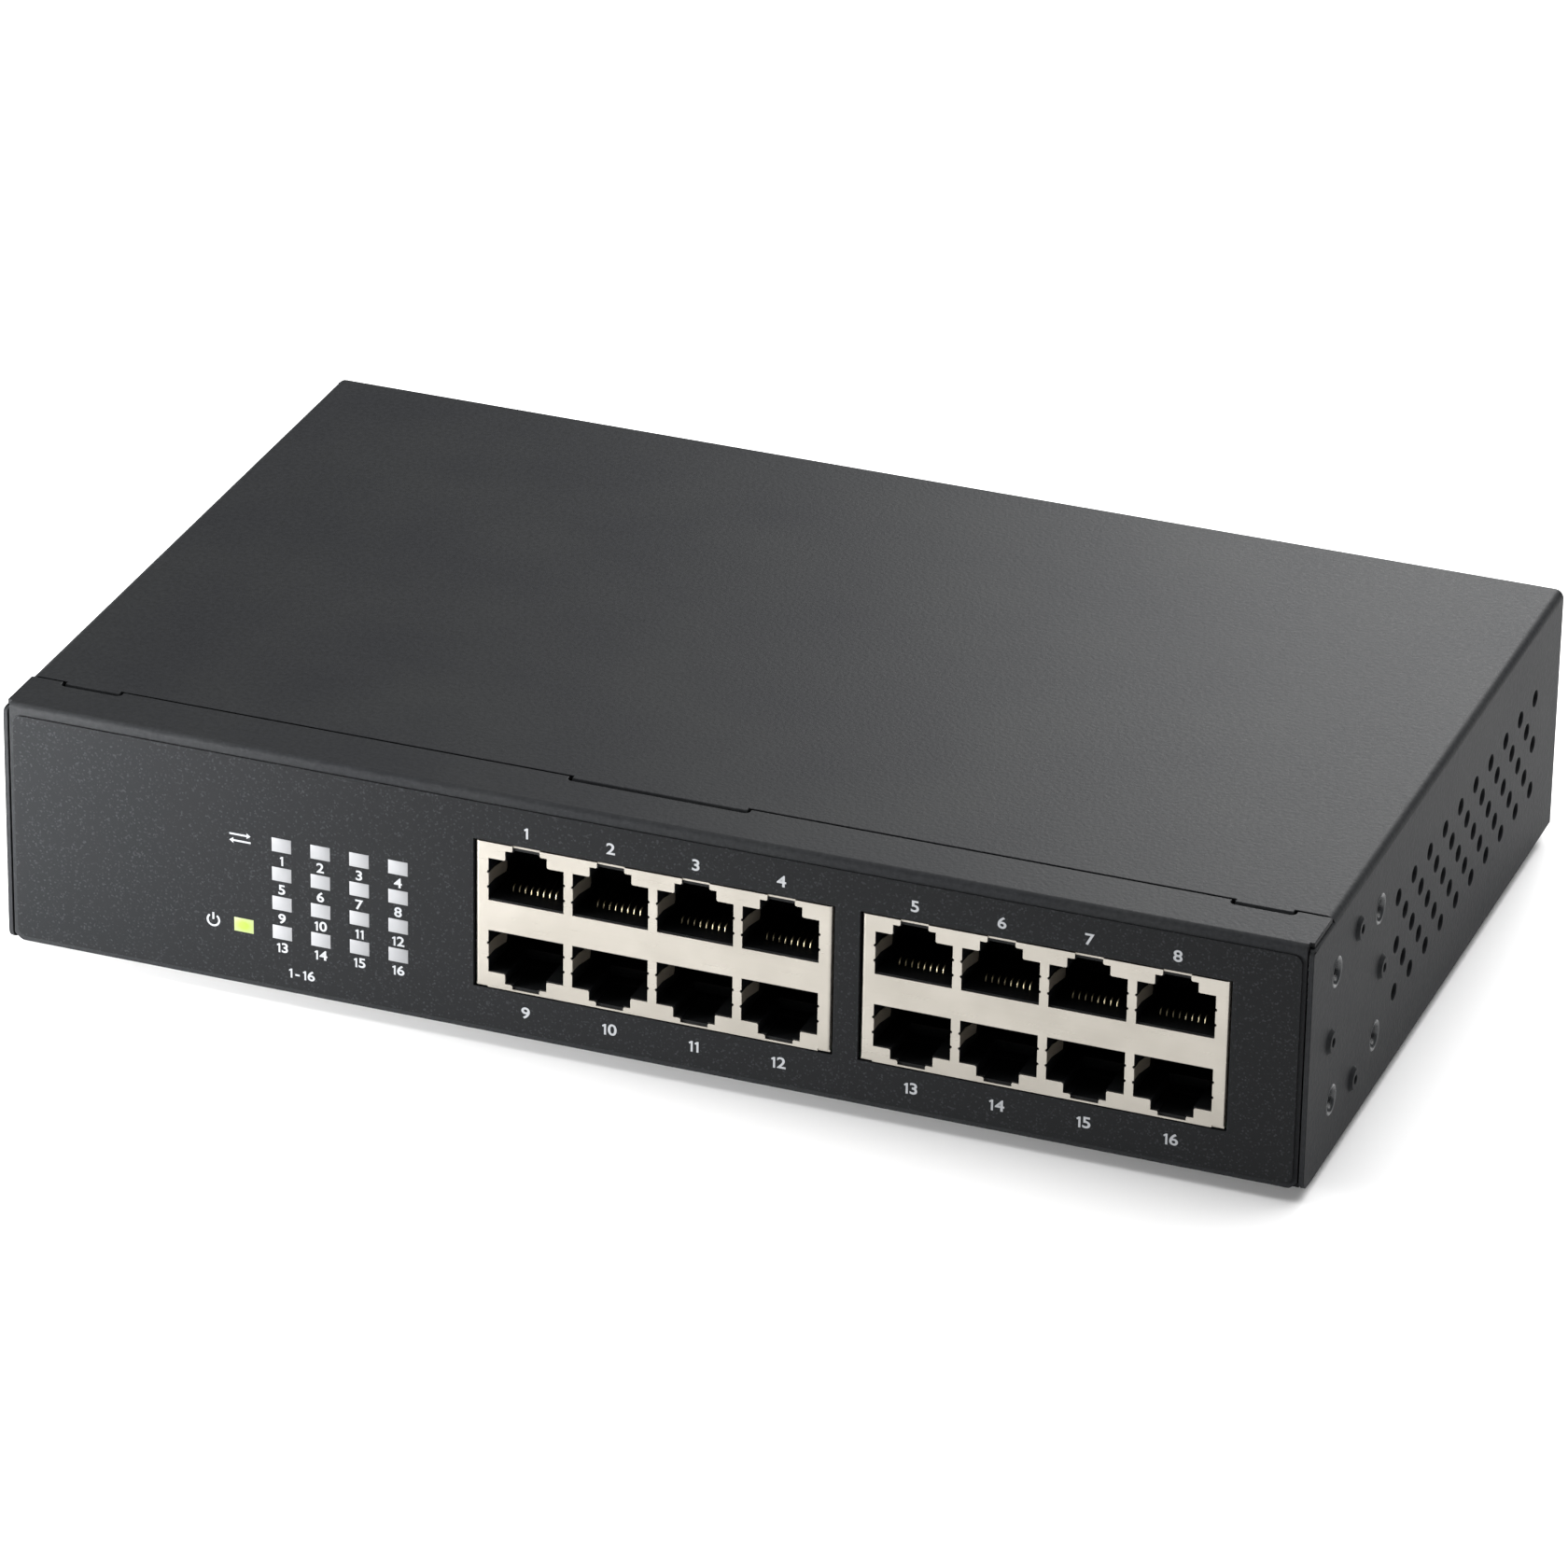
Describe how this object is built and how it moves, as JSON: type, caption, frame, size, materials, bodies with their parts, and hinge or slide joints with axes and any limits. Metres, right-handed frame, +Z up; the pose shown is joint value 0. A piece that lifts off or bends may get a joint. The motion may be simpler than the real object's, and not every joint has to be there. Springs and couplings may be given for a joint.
{
  "type": "desktop network switch",
  "caption": "Low rectangular steel case with two blocks of stacked network jacks and a lamp grid on the front, vented sides, mains inlet at the back; joins wired network devices.",
  "frame": {"origin": "middle of the footprint, on the surface the rubber feet stand on", "axes": "+X to the right seen from the ports, +Y to the back, +Z up"},
  "size_m": [0.2162, 0.1348, 0.044],
  "materials": {
    "case_paint": "fine textured charcoal powder coat",
    "label_film": "charcoal film with a fine sparkle",
    "lamp_window": "milky translucent plastic",
    "clear_plastic": "clear moulded light guide",
    "tinned_steel": "satin tin plate on steel",
    "black_plastic": "black moulded plastic",
    "white_plastic": "off-white moulded plastic",
    "yellow_plastic": "yellow casing or tape",
    "gold_contact": "gold-plated spring wire",
    "plated_brass": "nickel-plated brass blades",
    "brass_standoff": "plain turned brass",
    "zinc_screw": "zinc-plated steel",
    "circuit_board": "green solder mask on glass laminate",
    "insulator_film": "thin plastic sheet",
    "thermal_pad": "soft silicone pad",
    "anodised_aluminium": "grey anodised extrusion",
    "ferrite": "sintered ferrite",
    "bright_can": "plain aluminium can",
    "capacitor_sleeve": "shrink sleeve",
    "fuse_glass": "clear glass tube",
    "wire_sleeve": "flexible insulated wire",
    "foot_rubber": "moulded rubber"
  },
  "bodies": {
    "root": {"base_pan": "case_paint", "top_cover": "case_paint", "front_label": "label_film", "port_windows": "lamp_window", "power_window": "lamp_window", "light_guide": "clear_plastic", "status_leds": "lamp_window", "led_board": "circuit_board", "led_header": "black_plastic", "left_jack_shield": "tinned_steel", "right_jack_shield": "tinned_steel", "left_jack_housing": "black_plastic", "right_jack_housing": "black_plastic", "left_jack_contacts": "gold_contact", "right_jack_contacts": "gold_contact", "main_board": "circuit_board", "psu_board": "circuit_board", "board_standoffs": "brass_standoff", "board_screws": "zinc_screw", "psu_insulator": "insulator_film", "switch_chip": "black_plastic", "thermal_pad": "thermal_pad", "chip_heatsink": "anodised_aluminium", "line_transformers": "black_plastic", "clock_crystal": "bright_can", "memory_chip": "black_plastic", "core_regulator": "black_plastic", "regulator_inductors": "ferrite", "board_capacitors": "bright_can", "supply_sockets": "white_plastic", "supply_plugs": "white_plastic", "supply_wires": "wire_sleeve", "ac_inlet": "black_plastic", "inlet_pins": "plated_brass", "mains_fuse": "fuse_glass", "suppression_choke": "ferrite", "suppression_capacitor": "yellow_plastic", "bridge_rectifier": "black_plastic", "bulk_capacitor": "capacitor_sleeve", "switching_transistor": "black_plastic", "transistor_heatsink": "anodised_aluminium", "transformer_core": "ferrite", "transformer_coil": "yellow_plastic", "output_capacitors": "capacitor_sleeve", "opto_coupler": "white_plastic", "cover_screws": "zinc_screw", "ground_screw": "zinc_screw", "rubber_feet": "foot_rubber"}
  },
  "joints": []
}
